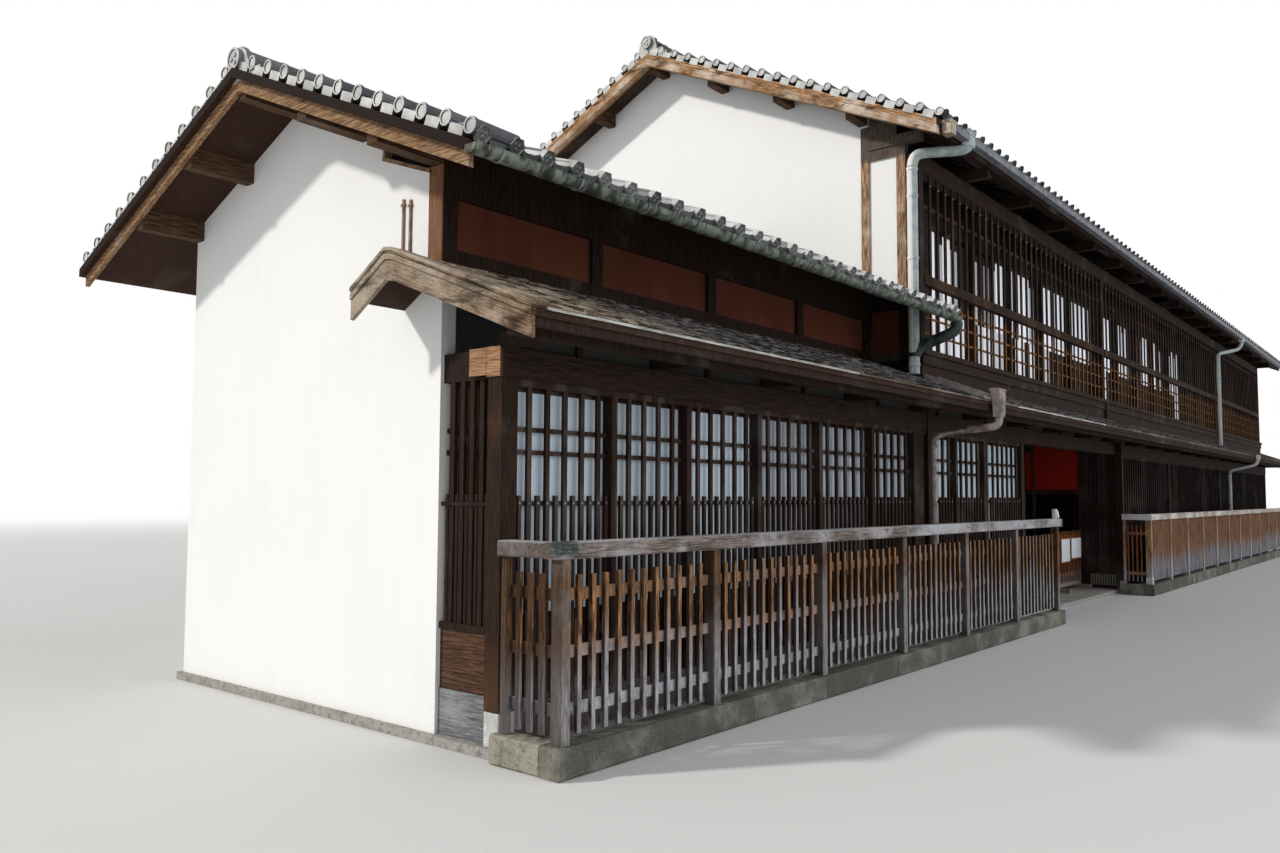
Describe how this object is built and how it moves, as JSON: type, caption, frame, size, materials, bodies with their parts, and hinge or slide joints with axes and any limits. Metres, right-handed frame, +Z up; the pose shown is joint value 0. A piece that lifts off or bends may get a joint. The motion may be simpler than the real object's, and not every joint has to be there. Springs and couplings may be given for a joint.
{
  "type": "townhouse",
  "caption": "Traditional wooden townhouse with a low wing, lattice fronts, a shingled pent roof, tiled gable roofs and a street fence.",
  "frame": {"origin": "on the ground at the outer corner of the left front post", "axes": "+X along the street to the right, +Y into the house, +Z up"},
  "size_m": [32.05, 8.3218, 7.6919],
  "materials": {
    "floor_stone": "worn stone and beaten earth",
    "dark_timber": "dark stained timber, weathered at the feet",
    "head_timber": "dark stained beam",
    "lattice_timber": "dark stained lattice bars",
    "upper_lattice_timber": "stained bars, bleached to orange in places",
    "paper": "white paper screen",
    "red_plaster": "matt red-brown plaster",
    "white_plaster": "matt white lime plaster",
    "shingles": "grey weathered shingles",
    "edge_timber": "weathered bargeboard",
    "roof_tile": "smoked clay tile",
    "rain_metal": "weathered sheet metal",
    "fence_timber": "weathered grey timber",
    "fence_board_timber": "weathered boards, grey at the foot",
    "kerb_stone": "split granite",
    "barrier_timber": "stained pickets"
  },
  "bodies": {
    "root": {"wing_floor": "floor_stone", "main_floor": "floor_stone", "front_posts": "dark_timber", "inner_posts": "dark_timber", "head_beam": "head_timber", "frieze_boards": "white_plaster", "wing_lattice": "lattice_timber", "second_lattice": "lattice_timber", "paper_screens": "paper", "right_lattice_near": "lattice_timber", "right_lattice_far": "lattice_timber", "side_panel": "lattice_timber", "entry_side_wall": "dark_timber", "entry_red_panel": "red_plaster", "entry_barrier": "barrier_timber", "pent_roof": "shingles", "pent_bargeboard": "edge_timber", "pent_frame": "dark_timber", "wing_front_frame": "dark_timber", "wing_red_panels": "red_plaster", "wing_left_wall": "white_plaster", "wing_rear_wall": "white_plaster", "wing_roof_front": "roof_tile", "wing_roof_rear": "roof_tile", "upper_floor": "dark_timber", "upper_frame": "dark_timber", "upper_lattice_a": "upper_lattice_timber", "upper_lattice_b": "upper_lattice_timber", "upper_lattice_c": "upper_lattice_timber", "upper_wall": "dark_timber", "gable_posts": "edge_timber", "main_left_gable": "white_plaster", "main_right_gable": "white_plaster", "main_rear_wall": "white_plaster", "rear_windows": "lattice_timber", "main_roof_front": "roof_tile", "main_roof_rear": "roof_tile", "roof_ridges": "roof_tile", "purlins": "edge_timber", "bargeboards": "edge_timber", "main_eave_frame": "dark_timber", "gutters": "rain_metal", "rain_pipes": "rain_metal", "fence_frames": "fence_timber", "fence_returns": "fence_timber", "fence_pickets": "fence_timber", "fence_boards": "fence_board_timber", "curb_stones": "kerb_stone"}
  },
  "joints": []
}
